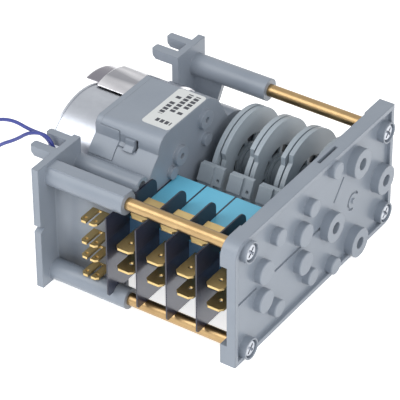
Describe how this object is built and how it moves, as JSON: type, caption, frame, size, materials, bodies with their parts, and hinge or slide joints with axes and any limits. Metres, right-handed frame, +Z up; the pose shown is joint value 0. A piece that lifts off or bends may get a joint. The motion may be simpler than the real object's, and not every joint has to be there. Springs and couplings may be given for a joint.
{
  "type": "cam timer",
  "caption": "Motor driven cam timer: open frame of two grey plates and brass spacers, with a camshaft working blue snap switches that have flat plug terminals.",
  "frame": {"origin": "middle of the base, on the plane that the frame rests on", "axes": "+X from the motor side plate to the right mounting plate, along the camshaft; +Y from the switch terminals to the back; +Z up, the frame rests on Z = 0"},
  "size_m": [0.1197, 0.0966, 0.0481],
  "materials": {
    "grey_plastic": "satin",
    "brass": "satin",
    "zinc_steel": "satin",
    "chrome_steel": "polished",
    "label_paper": "matte",
    "dark_plastic": "satin",
    "blue_insulation": "satin",
    "clear_sleeve": "glossy",
    "cam_plastic": "satin",
    "blue_plastic": "satin",
    "black_sheet": "glossy"
  },
  "bodies": {
    "frame": {"left_plate": "grey_plastic", "right_plate": "grey_plastic", "spacer_tubes": "brass", "corner_screws": "zinc_steel", "motor_can": "zinc_steel", "motor_rear_can": "chrome_steel", "gearbox_case": "grey_plastic", "gearbox_base": "grey_plastic", "rating_label": "label_paper", "lever_rod": "zinc_steel", "switch_rods": "zinc_steel", "terminal_block": "dark_plastic", "twin_terminals": "brass", "lead_grommet": "dark_plastic", "front_lead": "blue_insulation", "rear_lead": "blue_insulation", "lead_connectors": "clear_sleeve", "switch_1": "blue_plastic", "switch_1_terminals": "brass", "insulating_sheet_1": "black_sheet", "switch_2": "blue_plastic", "switch_2_terminals": "brass", "insulating_sheet_2": "black_sheet", "switch_3": "blue_plastic", "switch_3_terminals": "brass", "insulating_sheet_3": "black_sheet", "switch_4": "blue_plastic", "switch_4_terminals": "brass", "insulating_sheet_4": "black_sheet"},
    "cam_drum": {"camshaft": "zinc_steel", "cam_spacers": "cam_plastic", "cam_1_left": "cam_plastic", "cam_1_right": "cam_plastic", "cam_2_left": "cam_plastic", "cam_2_right": "cam_plastic", "cam_3_left": "cam_plastic", "cam_3_right": "cam_plastic", "cam_4_left": "cam_plastic", "cam_4_right": "cam_plastic"},
    "lever_1": {"lever_1": "cam_plastic"},
    "plunger_1": {"switch_1_plunger": "dark_plastic"},
    "lever_2": {"lever_2": "cam_plastic"},
    "plunger_2": {"switch_2_plunger": "dark_plastic"},
    "lever_3": {"lever_3": "cam_plastic"},
    "plunger_3": {"switch_3_plunger": "dark_plastic"},
    "lever_4": {"lever_4": "cam_plastic"},
    "plunger_4": {"switch_4_plunger": "dark_plastic"}
  },
  "joints": [
    {"name": "camshaft_turn", "type": "hinge", "parent": "frame", "child": "cam_drum", "pos_m": [0.02073, 0.0236, 0.0203], "axis": [1, 0, 0], "continuous": true},
    {"name": "lever_1_swing", "type": "hinge", "parent": "frame", "child": "lever_1", "pos_m": [0.00313, -0.0003, 0.007], "axis": [1, 0, 0], "range_deg": [0, 4], "stiffness_Nm_per_rad": 0.035, "springref_deg": -1.15},
    {"name": "plunger_1_press", "type": "slide", "parent": "frame", "child": "plunger_1", "axis": [0, -1, 0], "range_m": [0, 0.000922]},
    {"name": "lever_2_swing", "type": "hinge", "parent": "frame", "child": "lever_2", "pos_m": [0.01413, -0.0003, 0.007], "axis": [1, 0, 0], "range_deg": [0, 4], "stiffness_Nm_per_rad": 0.035, "springref_deg": -1.15},
    {"name": "plunger_2_press", "type": "slide", "parent": "frame", "child": "plunger_2", "axis": [0, -1, 0], "range_m": [0, 0.000922]},
    {"name": "lever_3_swing", "type": "hinge", "parent": "frame", "child": "lever_3", "pos_m": [0.02513, -0.0003, 0.007], "axis": [1, 0, 0], "range_deg": [0, 4], "stiffness_Nm_per_rad": 0.035, "springref_deg": -1.15},
    {"name": "plunger_3_press", "type": "slide", "parent": "frame", "child": "plunger_3", "axis": [0, -1, 0], "range_m": [0, 0.000922]},
    {"name": "lever_4_swing", "type": "hinge", "parent": "frame", "child": "lever_4", "pos_m": [0.03612, -0.0003, 0.007], "axis": [1, 0, 0], "range_deg": [0, 4], "stiffness_Nm_per_rad": 0.035, "springref_deg": -1.15},
    {"name": "plunger_4_press", "type": "slide", "parent": "frame", "child": "plunger_4", "axis": [0, -1, 0], "range_m": [0, 0.000922]}
  ],
  "couplings": [
    {"joint": "plunger_1_press", "follows": "lever_1_swing", "m_per_rad": 0.0132},
    {"joint": "plunger_2_press", "follows": "lever_2_swing", "m_per_rad": 0.0132},
    {"joint": "plunger_3_press", "follows": "lever_3_swing", "m_per_rad": 0.0132},
    {"joint": "plunger_4_press", "follows": "lever_4_swing", "m_per_rad": 0.0132}
  ]
}
